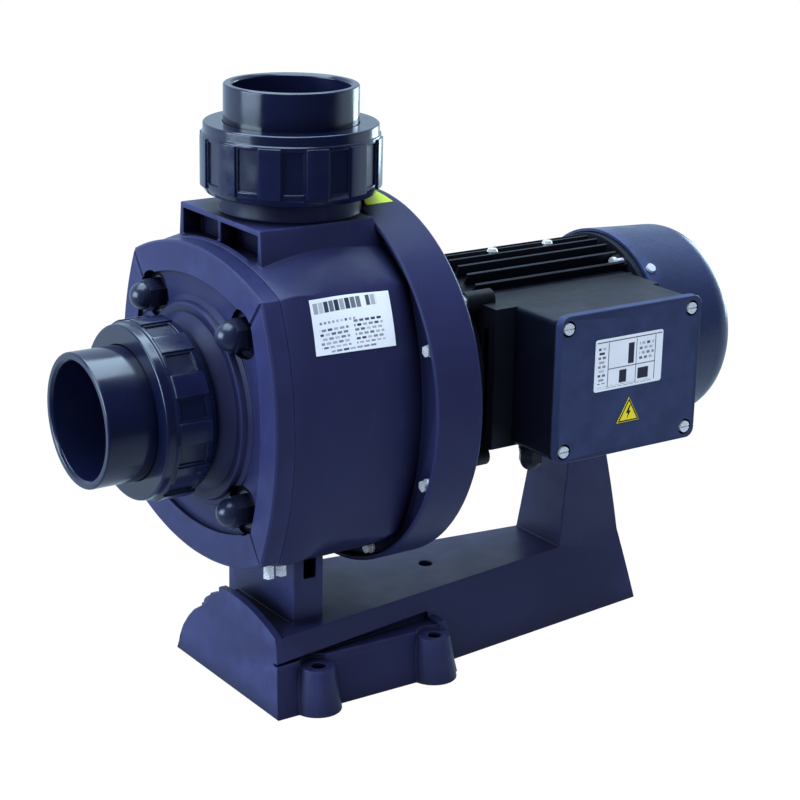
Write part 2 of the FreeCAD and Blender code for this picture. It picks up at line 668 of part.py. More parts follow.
def make_shield_screws():
    screws = []
    for angle in EAR_ANGLES:
        y, z = polar(EAR_R, angle)
        shank = rod(3.0, (83.0, y, z), (108.0, y, z))
        head = hex_prism(10.0, (84.0, y, z), (-1, 0, 0), 4.5)
        screws.append(fuse([shank, head]))
    return screws


def make_rear_screws():
    screws = []
    for angle in REAR_SCREW_ANGLES:
        y, z = polar(REAR_SCREW_R, angle)
        shank = rod(2.5, (262.5, y, z), (280.0, y, z))
        head = rod(4.2, (262.5, y, z), (259.0, y, z))
        screws.append(fuse([shank, head]))
    return screws


def make_motor_frame():
    tube = ring_x(SHIELD_REAR, FRAME_REAR, FRAME_BORE_R, FRAME_R)
    fin = pump_box(112.0, FRAME_REAR - 3.0, -FIN_T / 2, FIN_T / 2, FRAME_R - 1.0, FIN_R)
    fins = around(fin, int(360 / FIN_STEP), FIN_STEP / 2)
    solids = [tube] + fins
    for angle in EAR_ANGLES:
        y, z = polar(EAR_R, angle)
        solids.append(rod(8.0, (SHIELD_REAR, y, z), (110.0, y, z)))
        solids.append(spin(pump_box(SHIELD_REAR, 110.0, FRAME_R - 3.0, EAR_R, -8.0, 8.0), angle))
    for angle in REAR_SCREW_ANGLES:
        lug = pump_box(262.6, FRAME_REAR, FRAME_R - 4.0, FIN_R - 2.0, -7.0, 7.0)
        solids.append(spin(lug, angle))
    pad = pump_box(97.0, 265.0, PAD_Y, -40.0, -52.0, 64.0)
    foot = pump_box(235.0, FRAME_REAR, -23.0, 23.0, -92.0, -50.0)
    body = fuse(solids + [pad, foot])
    tools = [disc_x(SHIELD_REAR - 1.0, FRAME_REAR + 1.0, FRAME_BORE_R)]
    # lead opening, pad undercut, screw and plug holes
    tools.append(pump_box(165.0, 215.0, PAD_Y - 1.0, -50.0, -18.0, 34.0))
    tools.append(pump_box(96.0, 111.5, PAD_Y + 9.0, -78.0, -40.0, 46.0))
    for angle in EAR_ANGLES:
        y, z = polar(EAR_R, angle)
        tools.append(rod(3.0 + FIT, (SHIELD_REAR - 1.0, y, z), (109.0, y, z)))
    for angle in REAR_SCREW_ANGLES:
        y, z = polar(REAR_SCREW_R, angle)
        tools.append(rod(2.5 + FIT, (261.0, y, z), (FRAME_REAR + 1.0, y, z)))
        tools.append(rod(5.2, (250.0, y, z), (262.55, y, z)))
    for x in FRAME_PLUG_X:
        tools.append(rod(3.5 + FIT, (x, 0, SHAFT_Z + FRAME_R - 3.0), (x, 0, SHAFT_Z + FIN_R + 2.0)))
    for x in FOOT_BOLT_X:
        tools.append(rod(FOOT_BOLT_R + FIT, (x, 0, SHAFT_Z - 93.0), (x, 0, SHAFT_Z - 76.0)))
    for x, z in pad_screw_points():
        tools.append(rod(2.5 + FIT, (x, PAD_Y - 1.0, z), (x, PAD_Y + 12.0, z)))
    return cut(body, tools)


def make_frame_plugs():
    plugs = []
    for x in FRAME_PLUG_X:
        shank = rod(3.5, (x, 0, SHAFT_Z + FRAME_R - 2.5), (x, 0, SHAFT_Z + FIN_R + 0.5))
        head = cone(4.6, 3.6, (x, 0, SHAFT_Z + FIN_R + 0.1), (x, 0, SHAFT_Z + FIN_R + 2.4))
        plugs.append(fuse([shank, head]))
    return plugs


def make_stator_core():
    core = ring_x(CORE_FRONT, CORE_REAR, STATOR_BORE_R, FRAME_BORE_R - 0.02)
    slot = pump_box(CORE_FRONT - 1.0, CORE_REAR + 1.0, -2.6, 2.6, STATOR_BORE_R + 2.0, 56.0)
    mouth = pump_box(CORE_FRONT - 1.0, CORE_REAR + 1.0, -1.2, 1.2, STATOR_BORE_R - 1.0, STATOR_BORE_R + 3.0)
    return cut(core, around(slot, SLOTS) + around(mouth, SLOTS))


def make_windings():
    coils = []
    for x0, x1 in ((CORE_FRONT - 18.0, CORE_FRONT - 0.3), (CORE_REAR + 0.3, CORE_REAR + 18.0)):
        coils.append(turned([(x0, 47.0), (x0 + 3.0, 44.0), (x1 - 3.0, 44.0), (x1, 46.0), (x1, 58.0),
                             (x1 - 3.0, 60.0), (x0 + 3.0, 60.0), (x0, 57.0)]))
    return coils


def make_rotor_core():
    core = ring_x(CORE_FRONT, CORE_REAR, 17.02, ROTOR_R)
    rings = [ring_x(112.5, CORE_FRONT, 24.0, 38.0), ring_x(CORE_REAR, 237.5, 24.0, 38.0)]
    paddle = pump_box(106.0, 113.0, -1.5, 1.5, 28.0, 36.0)
    return fuse([core] + rings + around(paddle, 8))


def make_rear_shield():
    body = turned([(264.0, FRAME_BORE_R - 0.1), (FRAME_REAR, FRAME_BORE_R - 0.1), (FRAME_REAR, 85.6),
                   (289.0, 85.6), (289.0, 82.0), (279.0, 80.0), (279.0, 40.0), (286.0, 32.0), (286.0, 14.0),
                   (REAR_BEARING_X + BEARING_W + 2.2, 14.0),
                   (REAR_BEARING_X + BEARING_W + 2.2, BEARING_OD_R + 0.02),
                   (REAR_BEARING_X, BEARING_OD_R + 0.02), (REAR_BEARING_X, 34.0), (270.0, 42.0),
                   (270.0, 62.0), (264.0, 62.0)])
    tools = []
    for angle in REAR_SCREW_ANGLES:
        y, z = polar(REAR_SCREW_R, angle)
        tools.append(rod(2.5 + FIT, (FRAME_REAR - 1.0, y, z), (280.2, y, z)))
    for angle in COVER_SCREW_ANGLES:
        inner = polar(78.0, angle)
        outer = polar(92.0, angle)
        tools.append(rod(2.0 + FIT, (COVER_SCREW_X, *inner), (COVER_SCREW_X, *outer)))
    return cut(body, tools)


def make_cooling_fan():
    hub = ring_x(FAN_X, FAN_X + 26.0, SHAFT_R, 20.0)
    plate = turned([(FAN_X + 4.0, 19.0), (FAN_X + 1.5, 45.0), (FAN_X, FAN_R - 2.0),
                    (FAN_X + 2.5, FAN_R - 2.0),
                    (FAN_X + 4.5, 45.0), (FAN_X + 7.0, 19.0)])
    blade = pump_box(FAN_X + 2.0, FAN_X + 24.0, -1.2, 1.2, 19.0, FAN_R)
    blade = cut(blade, [pump_box(FAN_X + 1.0, FAN_X + 2.8, -2.0, 2.0, 50.0, FAN_R + 1.0)])
    return fuse([hub, plate] + around(blade, FAN_BLADES))


def make_fan_circlip():
    ring = ring_x(320.6, 321.8, SHAFT_R - 0.8, 13.0)
    return ring.cut(pump_box(320.0, 322.0, -2.0, 2.0, 0.0, 20.0))


def fan_cover_shape(radius, rim, end, corner):
    straight = end - corner
    shoulder = radius - COVER_TAPER
    outer = Part.Arc(V(straight, 0, SHAFT_Z + shoulder),
                     V(straight + corner * math.sin(math.pi / 4), 0,
                       SHAFT_Z + shoulder - corner + corner * math.cos(math.pi / 4)),
                     V(end, 0, SHAFT_Z + shoulder - corner)).toShape()
    lines = [((end, shoulder - corner), (end, 0)), ((end, 0), (rim, 0)), ((rim, 0), (rim, radius)),
             ((rim, radius), (straight, shoulder))]
    edges = [Part.LineSegment(V(a[0], 0, SHAFT_Z + a[1]), V(b[0], 0, SHAFT_Z + b[1])).toShape()
             for a, b in lines]
    return Part.Face(Part.Wire([outer] + edges)).revolve(AXIS, X_DIR, 360)


def make_fan_cover():
    skin = fan_cover_shape(COVER_R, COVER_RIM_X, COVER_END_X, COVER_ROUND)
    skin = skin.cut(fan_cover_shape(COVER_R - COVER_T, COVER_RIM_X - 5.0, COVER_END_X - COVER_T,
                                    COVER_ROUND - COVER_T))
    # air grille: rings of slots between eight spokes
    slots = [ring_x(COVER_END_X - 6.0, COVER_END_X + 1.0, radius, radius + GRILLE_SLOT)
             for radius in GRILLE_RADII]
    spoke = pump_box(COVER_END_X - 7.0, COVER_END_X + 2.0, -2.5, 2.5, 0.0, 62.0)
    grille = slots[0].multiFuse(slots[1:]).cut(spin(spoke, 0).multiFuse(around(spoke, 8)))
    holes = [rod(2.2, (COVER_SCREW_X, *polar(80.0, angle)), (COVER_SCREW_X, *polar(92.0, angle)))
             for angle in COVER_SCREW_ANGLES]
    return cut(skin.cut(grille), holes)


def make_fan_cover_screws():
    screws = []
    for angle in COVER_SCREW_ANGLES:
        inner = polar(79.0, angle)
        surface = polar(COVER_R + 0.1, angle)
        top = polar(COVER_R + 2.4, angle)
        shank = rod(2.0, (COVER_SCREW_X, *inner), (COVER_SCREW_X, *surface))
        head = rod(4.0, (COVER_SCREW_X, *surface), (COVER_SCREW_X, *top))
        screws.append(fuse([shank, head]))
    return screws


# ---- terminal box ----
def rounded_slab(x0, x1, z0, z1, y0, y1, radius):
    slab = pump_box(x0, x1, y0, y1, z0, z1)
    edges = [e for e in slab.Edges if abs(e.tangentAt(0).y) > 0.9]
    return slab.makeFillet(radius, edges)


def lid_screw_points():
    return [(x, SHAFT_Z + z) for x in LID_SCREW_X for z in LID_SCREW_Z]


def pad_screw_points():
    return [(x, SHAFT_Z + z) for x in PAD_SCREW_X for z in PAD_SCREW_Z]


def make_terminal_box():
    outer = rounded_slab(BOX_X0, BOX_X1, BOX_Z0, BOX_Z1, BOX_FRONT, PAD_Y, 5.0)
    inner = rounded_slab(BOX_X0 + BOX_WALL, BOX_X1 - BOX_WALL, BOX_Z0 + BOX_WALL, BOX_Z1 - BOX_WALL,
                         BOX_FRONT - 1.0, PAD_Y - BOX_BACK_T, 1.0)
    body = outer.cut(inner)
    posts = [rod(LID_POST_R, (x, -122.0, z), (x, BOX_FRONT, z)) for x, z in lid_screw_points()]
    posts = [post.common(outer) for post in posts]
    boss = gland_rod(10.0, 2.0, -2.0)
    body = fuse([body, boss] + posts)
    tools = [pump_box(165.0, 215.0, PAD_Y - 5.0, PAD_Y + 1.0, -18.0, 34.0),
             gland_rod(GLAND_THREAD_R + FIT, 5.0, -3.0)]
    for x, z in lid_screw_points():
        tools.append(rod(2.0 + FIT, (x, -121.0, z), (x, BOX_FRONT - 1.0, z)))
    for x, z in pad_screw_points():
        tools.append(rod(2.5 + FIT, (x, PAD_Y - 4.0, z), (x, PAD_Y + 1.0, z)))
    return cut(body, tools)


def make_box_screws():
    screws = []
    for x, z in pad_screw_points():
        shank = rod(2.5, (x, PAD_Y - 3.4, z), (x, PAD_Y + 10.0, z))
        head = rod(4.5, (x, PAD_Y - 3.0, z), (x, PAD_Y - 6.2, z))
        screws.append(fuse([shank, head]))
    return screws


def corner_tab(x, z):
    """A square tab of gasket that runs from the rim to just past a lid screw."""
    x_rim = BOX_X0 + 1.9 if x < (BOX_X0 + BOX_X1) / 2 else BOX_X1 - 1.9
    z_rim = SHAFT_Z + (BOX_Z0 + 1.9 if z < SHAFT_Z else BOX_Z1 - 1.9)
    x_far = x + math.copysign(LID_TAB, x - x_rim)
    z_far = z + math.copysign(LID_TAB, z - z_rim)
    return box(min(x_rim, x_far), max(x_rim, x_far), BOX_FRONT - GASKET_T, BOX_FRONT, min(z_rim, z_far),
               max(z_rim, z_far))


def make_box_gasket():
    outer = rounded_slab(BOX_X0 + 0.8, BOX_X1 - 0.8, BOX_Z0 + 0.8, BOX_Z1 - 0.8, BOX_FRONT - GASKET_T,
                         BOX_FRONT, 4.5)
    inner = rounded_slab(BOX_X0 + BOX_WALL, BOX_X1 - BOX_WALL, BOX_Z0 + BOX_WALL, BOX_Z1 - BOX_WALL,
                         BOX_FRONT - 2.0, BOX_FRONT + 1.0, 2.0)
    gasket = fuse([outer.cut(inner)] + [corner_tab(x, z) for x, z in lid_screw_points()])
    return cut(gasket, [rod(2.0 + FIT, (x, BOX_FRONT + 1.0, z), (x, BOX_FRONT - 2.0, z))
                        for x, z in lid_screw_points()])


def make_terminal_lid():
    slab = rounded_slab(LID_X0, LID_X1, LID_Z0, LID_Z1, LID_FRONT, BOX_FRONT - GASKET_T, 8.0)
    front_edges = [e for e in slab.Edges if abs(e.CenterOfMass.y - LID_FRONT) < 0.01]
    slab = slab.makeFillet(1.2, front_edges)
    hollow = rounded_slab(LID_X0 + 24.0, LID_X1 - 24.0, LID_Z0 + 5.0, LID_Z1 - 5.0, LID_FRONT + 3.0,
                          BOX_FRONT, 4.0)
    tools = [hollow]
    for x, z in lid_screw_points():
        tools.append(rod(LID_SEAT_R, (x, LID_FRONT - 1.0, z), (x, LID_FRONT + 3.5, z)))
        tools.append(rod(2.0 + FIT, (x, LID_FRONT, z), (x, BOX_FRONT, z)))
    return cut(slab, tools)


def make_lid_screws():
    screws = []
    for x, z in lid_screw_points():
        shank = rod(2.0, (x, LID_FRONT + 3.4, z), (x, -123.0, z))
        head = rod(4.7, (x, LID_FRONT + 3.5, z), (x, LID_FRONT - 0.6, z))
        slot = box(x - 6.0, x + 6.0, LID_FRONT - 1.0, LID_FRONT + 0.6, z - 0.6, z + 0.6)
        screws.append(fuse([shank, head]).cut(slot))
    return screws


def terminal_points():
    return [(x, SHAFT_Z + z) for x in TERMINAL_X for z in TERMINAL_Z]


def make_terminal_board():
    board = pump_box(158.0, 222.0, -103.0, -95.0, -14.0, 28.0)
    walls = [pump_box(x - 1.0, x + 1.0, -108.0, -102.9, -14.0, 28.0) for x in (163.0, 181.0, 199.0, 217.0)]
    holes = [rod(2.5 + FIT, (x, -94.0, z), (x, -104.0, z)) for x, z in terminal_points()]
    return cut(fuse([board] + walls), holes)


def make_terminal_studs():
    studs = []
    for x, z in terminal_points():
        stud = rod(2.5, (x, -95.5, z), (x, -120.0, z))
        nut = hex_prism(8.0, (x, -104.6, z), (0, -1, 0), 4.0)
        studs.append(fuse([stud, nut]))
    return studs


def make_terminal_links():
    links = []
    for x in TERMINAL_X:
        strap = pump_box(x - 4.5, x + 4.5, -104.5, -103.1, -7.0, 21.0)
        links.append(cut(strap, [rod(2.5 + FIT, (x, -100.0, SHAFT_Z + z), (x, -106.0, SHAFT_Z + z))
                                 for z in TERMINAL_Z]))
    return links


def gland_rod(radius, start, end):
    """A cylinder on the gland's axis; heights are measured up from the box floor."""
    floor_z = SHAFT_Z + BOX_Z0
    return rod(radius, (GLAND_X, GLAND_Y, floor_z + start), (GLAND_X, GLAND_Y, floor_z + end))


def gland_hex(across_flats, start, height):
    direction = (0, 0, math.copysign(1, height))
    return hex_prism(across_flats, (GLAND_X, GLAND_Y, SHAFT_Z + BOX_Z0 + start), direction, abs(height))


def make_gland_body():
    thread = gland_rod(GLAND_THREAD_R, 8.2, -2.0)
    collar = gland_hex(17.5, -2.0, -4.0)
    neck = gland_rod(GLAND_NECK_R, -5.9, -12.0)
    return fuse([thread, collar, neck]).cut(gland_rod(GLAND_BORE_R, 9.0, -13.0))


def make_gland_locknut():
    return gland_hex(15.0, BOX_WALL + 1.0, 4.5).cut(gland_rod(GLAND_THREAD_R + FIT, 2.0, 9.0))


def make_gland_cap():
    skirt = gland_hex(17.0, -6.2, -6.5)
    dome_z = SHAFT_Z + BOX_Z0 - 11.7
    dome = Part.makeSphere(8.4, V(GLAND_X, GLAND_Y, dome_z)).common(gland_rod(12.0, -12.0, -19.0))
    return cut(fuse([skirt, dome]), [gland_rod(GLAND_BORE_R, -5.0, -22.0),
                                     gland_rod(GLAND_NECK_R + FIT, -5.0, -12.2)])


# ---- labels ----
def make_rating_label():
    """A thin plate that lies on the casing's curved near side."""
    skin = drum(0.5).cut(drum(0.05))
    window = pump_box(-83.0, -13.0, -130.0, -80.0, 58.0, 97.0)
    return skin.common(spin(window, 1.5, V(-48, -105, SHAFT_Z + 78), Y_DIR))


def make_motor_label():
    return rounded_slab(151.0, 220.0, 3.0, 45.5, LID_FRONT - 0.5, LID_FRONT, 2.0)


def make_warning_label():
    points = [(176.5, LID_FRONT, SHAFT_Z - 26.5), (199.5, LID_FRONT, SHAFT_Z - 26.5),
              (188.0, LID_FRONT, SHAFT_Z - 6.5)]
    return Part.Face(polygon(points)).extrude(V(0, -0.5, 0))


def make_arrow_sticker():
    skin = ring_x(12.0, 36.0, RING_R, RING_R + 0.4)
    patch = skin.common(pump_box(0.0, 60.0, -35.0, -12.0, 100.0, 160.0))
    return patch.cut(rod(NECK_R + 1.0, (X_DISCHARGE, 0, SHAFT_Z + 100.0), (X_DISCHARGE, 0, SHAFT_Z + 160.0)))


# ---- base stand ----
def rail_half(x):
    """Half width of the stand at the floor."""
    return 80.5 - 0.1042 * (x - BASE_FRONT)


def rail_top_half(x):
    """Half width of the stand at the top of the rail."""
    return 69.0 - 0.1225 * (x - RAIL_FRONT)


def rail_body():
    rear = BASE_REAR + 2.0
    floor = wedge(rail_half(BASE_FRONT), rail_half(rear), BASE_FRONT, rear, 0)
    top = wedge(rail_top_half(RAIL_FRONT), rail_top_half(rear), RAIL_FRONT, rear, RAIL_Z)
    head_half = PEDESTAL_HEAD_HALF
    foot = wedge(rail_top_half(PEDESTAL_FRONT), rail_top_half(rear), PEDESTAL_FRONT, rear, RAIL_Z)
    head = wedge(head_half, head_half - 9.0, PEDESTAL_FRONT, rear, REAR_PEDESTAL_TOP)
    return Part.makeLoft([floor, top], True, True).multiFuse([Part.makeLoft([foot, head], True, True)])


def side_profile():
    """Side view of the rail and the rear pedestal, extruded across the stand."""
    y = -100.0
    back = Part.Arc(V(BASE_REAR, y, 0), V(298.0, y, 50.0), V(276.0, y, REAR_PEDESTAL_TOP)).toShape()
    points = [(276.0, REAR_PEDESTAL_TOP), (233.6, REAR_PEDESTAL_TOP), (222.0, RAIL_Z),
              (BASE_FRONT - 5.0, RAIL_Z), (BASE_FRONT - 5.0, 0), (BASE_REAR, 0)]
    edges = [Part.LineSegment(V(a[0], y, a[1]), V(b[0], y, b[1])).toShape()
             for a, b in zip(points, points[1:])]
    return Part.Face(Part.Wire([back] + edges)).extrude(V(0, 200.0, 0))


def foot_flange():
    floor = wedge(82.0, 82.0, BASE_FRONT, 78.0, 0)
    ledge = wedge(69.0, 69.0, RAIL_FRONT, 74.0, LEDGE_Z)
    return Part.makeLoft([floor, ledge], True, True)


def front_arch():
    """The thin arched wall that stands across the front of the foot."""
    x = -90.0
    half = rail_top_half(RAIL_FRONT)
    top = Part.Arc(V(x, -half, RAIL_Z), V(x, 0, ARCH_Z), V(x, half, RAIL_Z)).toShape()
    lines = [((half, RAIL_Z), (half, RAIL_Z - 20.0)), ((half, RAIL_Z - 20.0), (-half, RAIL_Z - 20.0)),
             ((-half, RAIL_Z - 20.0), (-half, RAIL_Z))]
    edges = [Part.LineSegment(V(x, a[0], a[1]), V(x, b[0], b[1])).toShape() for a, b in lines]
    return Part.Face(Part.Wire([top] + edges)).extrude(V(7.0, 0, 0))


def underside_pockets():
    """A grid of moulding pockets, open at the floor, that leaves walls and ribs."""
    pockets = []
    for k in range(7):
        x0 = -84.0 + 48.0 * k
        x1 = x0 + 44.0
        half = rail_top_half(x1) - 4.0
        pockets.append(box(x0, x1, -half, -2.0, -1.0, RAIL_Z - 5.0))
        pockets.append(box(x0, x1, 2.0, half, -1.0, RAIL_Z - 5.0))
    for y0, y1 in ((-17.0, -2.0), (2.0, 17.0)):
        pockets.append(box(238.0, 268.0, y0, y1, RAIL_Z - 15.0, REAR_PEDESTAL_TOP - 8.0))
    return pockets


def far_corner_relief():
    """The far front corner of the foot falls away under the casing; the lug behind it is left whole."""
    upper = [(20, 71.5), (33, 66.3), (36.5, 62), (43, 53), (60, 42), (90, 42), (90, 90), (20, 90)]
    lower = [(60, 42), (68, 33.7), (75.4, 23), (83.3, 4), (95, 4), (95, 42)]
    start = BASE_FRONT - 5.0
    cuts = [Part.Face(polygon([(start, y, z) for y, z in outline])).extrude(V(end - start, 0, 0))
            for outline, end in ((upper, PEDESTAL_X0), (lower, -FOOT_X - LUG_R - 1.0))]
    return cuts + [box(PEDESTAL_X0 - 1.0, PEDESTAL_X0 + 15.0, PEDESTAL_HALF, 90.0, LEDGE_Z, RAIL_Z + 1.0)]


def ledge_grooves():
    """The undercut between the rail and the foot flange; it opens out towards the rear lugs."""
    grooves = []
    for side in (-1, 1):
        front = [(-100, side * 69, 41.4), (-100, side * 95, 41.4), (-100, side * 95, 42.8),
                 (-100, side * 69, 42.8)]
        rear = [(66, side * 51, 39), (66, side * 95, 39), (66, side * 95, 46), (66, side * 51, 46)]
        grooves.append(Part.makeLoft([polygon(front), polygon(rear)], True, True))
    return grooves


def make_base_stand():
    rail = rail_body().common(side_profile())
    pedestal = box(PEDESTAL_X0, PEDESTAL_X1, -PEDESTAL_HALF, PEDESTAL_HALF, RAIL_Z - 10.0, SHAFT_Z - 100.0)
    solids = [rail, pedestal, foot_flange(), front_arch()]
    tools = underside_pockets() + far_corner_relief() + ledge_grooves() + [drum(0.2)]
    for sx in (-1, 1):
        for sy in (-1, 1):
            x = sx * FOOT_X
            y = sy * FOOT_Y
            solids.append(cone(LUG_R, LUG_TOP_R, (x, y - sy, 0), (x, y - sy, LUG_TOP)))
            tools.append(rod(LUG_HOLE_R, (x, y, -1.0), (x, y, LUG_TOP + 6.0)))
            tools.append(rod(LUG_TOP_R + 1.0, (x, y, LUG_TOP), (x, y, LEDGE_Z + 1.0)))
    # strap hole through the front pedestal and drain hole in the rail
    tools.append(box(-53.0, -42.0, -PEDESTAL_HALF - 1.0, PEDESTAL_HALF + 1.0, 100.0, 116.0))
    tools.append(rod(6.0, (101.0, 0, RAIL_Z - 6.0), (101.0, 0, RAIL_Z + 1.0)))
    for x in FOOT_BOLT_X:
        tools.append(rod(FOOT_BOLT_R + FIT, (x, 0, REAR_PEDESTAL_TOP - FOOT_BOLT_SUNK),
                         (x, 0, REAR_PEDESTAL_TOP + 1.0)))
    return cut(fuse(solids), tools)


def make_motor_pad():
    pad = box(236.0, FRAME_REAR, -22.0, 22.0, REAR_PEDESTAL_TOP, SHAFT_Z - 92.0)
    return cut(pad, [rod(FOOT_BOLT_R + FIT, (x, 0, REAR_PEDESTAL_TOP - 1.0), (x, 0, SHAFT_Z - 90.0))
                     for x in FOOT_BOLT_X])


def make_foot_bolts():
    bolts = []
    for x in FOOT_BOLT_X:
        bolts.append(rod(FOOT_BOLT_R, (x, 0, REAR_PEDESTAL_TOP - FOOT_BOLT_SUNK), (x, 0, SHAFT_Z - 77.0)))
    return bolts


# ---- write every node ----
def main():
    os.makedirs("parts", exist_ok=True)
    save("suction_tail", at_suction(union_tail(SUCTION_NUT_FRONT)))
    save("suction_nut", spin(at_suction(union_nut(SUCTION_NUT_FRONT)), 15.0))
    save("suction_o_ring", at_suction(union_o_ring()))
    save("discharge_tail", at_discharge(union_tail(DISCHARGE_NUT_FRONT)))
    save("discharge_nut", at_discharge(union_nut(DISCHARGE_NUT_FRONT)))
    save("discharge_o_ring", at_discharge(union_o_ring()))
    save("front_cover", make_front_cover())
    save("cover_studs", *make_cover_studs())
    save("cover_cap_nuts", *make_cap_nuts())
    save("cover_o_ring", make_cover_o_ring())
    save("inlet_cone", make_inlet_cone())
    save("wear_ring", make_wear_ring())
    save("casing", make_casing())
    save("casing_plugs", *make_casing_plugs())
    save("seal_housing", make_seal_housing())
    save("housing_o_ring", make_housing_o_ring())
    save("housing_screws", *make_housing_screws())
    save("impeller", make_impeller())
    save("impeller_key", impeller_key_slot(0.0))
    save("impeller_nut", make_impeller_nut())
    save("seal_seat", ring_x(FLANGE_X + 0.2, 24.0, 11.5, SEAL_R))
    save("seal_cup", turned([(FLANGE_X + 0.2, SEAL_R + 0.02), (FLANGE_X + 0.2, 20.28), (25.18, 20.28),
                             (25.18, 13.0), (24.02, 13.0), (24.02, SEAL_R + 0.02)]))
    save("seal_head", turned([(8.6, SHAFT_R + 0.03), (8.6, 16.5), (13.0, 16.5), (14.5, 14.5),
                              (FLANGE_X + 0.18, 14.5), (FLANGE_X + 0.18, SHAFT_R + 0.03)]))
    save("seal_spring", make_seal_spring())
    save("slinger", turned([(36.5, SHAFT_R + 0.02), (36.5, 14.0), (39.5, 14.0), (40.5, 22.0), (41.5, 22.0),
                            (41.0, SHAFT_R + 0.02)]))
    save("shaft", make_shaft())
    save("rotor_core", make_rotor_core())
    save("stator_core", make_stator_core())
    save("windings", *make_windings())
    save("bearing_outer_races", *[bearing_outer(x) for x in BEARING_STATIONS])
    save("bearing_inner_races", *[bearing_inner(x) for x in BEARING_STATIONS])
    save("bearing_balls", *[ball for x in BEARING_STATIONS for ball in bearing_balls(x)])
    bearing_face = REAR_BEARING_X + BEARING_W
    save("wave_washer", ring_x(bearing_face + 0.4, bearing_face + 1.4, 21.5, 25.8))
    save("front_shield", make_front_shield())
    save("bracket_bolts", *make_bracket_bolts())
    save("shield_screws", *make_shield_screws())
    save("motor_frame", make_motor_frame())
    save("frame_plugs", *make_frame_plugs())
    save("rear_shield", make_rear_shield())
    save("rear_shield_screws", *make_rear_screws())
    save("cooling_fan", make_cooling_fan())
    save("fan_circlip", make_fan_circlip())
    save("fan_cover", make_fan_cover())
    save("fan_cover_screws", *make_fan_cover_screws())
    save("terminal_box", make_terminal_box())
    save("terminal_box_screws", *make_box_screws())
    save("lid_gasket", make_box_gasket())
    save("terminal_lid", make_terminal_lid())
    save("lid_screws", *make_lid_screws())
    save("terminal_board", make_terminal_board())
    save("terminal_hardware", *(make_terminal_studs() + make_terminal_links()))
    save("cable_gland", make_gland_body(), make_gland_locknut())
    save("cable_gland_cap", make_gland_cap())
    save("rating_label", make_rating_label())
    save("motor_label", make_motor_label())
    save("warning_label", make_warning_label())
    save("arrow_sticker", make_arrow_sticker())
    save("base_stand", make_base_stand())
    save("motor_pad", make_motor_pad())
    save("motor_foot_bolts", *make_foot_bolts())


main()
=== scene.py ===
import json
import math

import bmesh
import bpy
from mathutils import Matrix, Vector
from mathutils.bvhtree import BVHTree

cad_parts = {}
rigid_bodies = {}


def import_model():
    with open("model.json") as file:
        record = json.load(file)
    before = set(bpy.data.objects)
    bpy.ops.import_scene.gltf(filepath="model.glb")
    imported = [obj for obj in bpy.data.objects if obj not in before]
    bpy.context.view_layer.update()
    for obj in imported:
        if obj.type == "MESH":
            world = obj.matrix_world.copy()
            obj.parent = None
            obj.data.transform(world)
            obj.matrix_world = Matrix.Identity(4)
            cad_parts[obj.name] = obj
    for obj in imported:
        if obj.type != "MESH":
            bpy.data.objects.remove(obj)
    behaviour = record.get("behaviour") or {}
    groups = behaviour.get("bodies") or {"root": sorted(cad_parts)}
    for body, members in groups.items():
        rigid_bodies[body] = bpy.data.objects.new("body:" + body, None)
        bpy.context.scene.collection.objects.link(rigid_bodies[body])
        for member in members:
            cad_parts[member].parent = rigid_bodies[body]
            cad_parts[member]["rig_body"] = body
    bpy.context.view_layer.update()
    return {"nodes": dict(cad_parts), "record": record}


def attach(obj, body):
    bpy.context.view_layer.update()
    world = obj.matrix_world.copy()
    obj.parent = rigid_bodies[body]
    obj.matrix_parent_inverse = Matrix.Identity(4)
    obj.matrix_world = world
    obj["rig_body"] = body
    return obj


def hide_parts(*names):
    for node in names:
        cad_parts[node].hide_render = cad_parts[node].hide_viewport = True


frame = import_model()

MM = 0.001


# ---- shader helpers ----
def new_material(name):
    material = bpy.data.materials.new(name)
    material.use_nodes = True
    tree = material.node_tree
    tree.nodes.clear()
    output = tree.nodes.new("ShaderNodeOutputMaterial")
    shader = tree.nodes.new("ShaderNodeBsdfPrincipled")
    tree.links.new(shader.outputs["BSDF"], output.inputs["Surface"])
    return material, tree, shader


def place(tree, stretch=(1.0, 1.0, 1.0)):
    """Coordinates fixed to the piece, stretched along its axes."""
    coordinate = tree.nodes.new("ShaderNodeTexCoord")
    mapping = tree.nodes.new("ShaderNodeMapping")
    mapping.inputs["Scale"].default_value = stretch
    tree.links.new(coordinate.outputs["Object"], mapping.inputs["Vector"])
    return mapping.outputs["Vector"]


def noise(tree, scale, detail=4.0, stretch=(1.0, 1.0, 1.0)):
    texture = tree.nodes.new("ShaderNodeTexNoise")
    texture.inputs["Scale"].default_value = scale
    texture.inputs["Detail"].default_value = detail
    tree.links.new(place(tree, stretch), texture.inputs["Vector"])
    return texture.outputs["Fac"]


def spread(tree, value, from_low, from_high, to_low, to_high):
    node = tree.nodes.new("ShaderNodeMapRange")
    node.inputs["From Min"].default_value = from_low
    node.inputs["From Max"].default_value = from_high
    node.inputs["To Min"].default_value = to_low
    node.inputs["To Max"].default_value = to_high
    tree.links.new(value, node.inputs["Value"])
    return node.outputs["Result"]


def math_node(tree, operation, first, second):
    node = tree.nodes.new("ShaderNodeMath")
    node.operation = operation
    for socket, value in zip(node.inputs, (first, second)):
        if isinstance(value, float):
            socket.default_value = value
        else:
            tree.links.new(value, socket)
    return node.outputs["Value"]


def mix_colour(tree, factor, first, second):
    node = tree.nodes.new("ShaderNodeMix")
    node.data_type = "RGBA"
    tree.links.new(factor, node.inputs["Factor"])
    for name, value in (("A", first), ("B", second)):
        socket = [s for s in node.inputs if s.name == name and s.type == "RGBA"][0]
        if isinstance(value, tuple):
            socket.default_value = (*value, 1.0)
        else:
            tree.links.new(value, socket)
    return [s for s in node.outputs if s.type == "RGBA"][0]


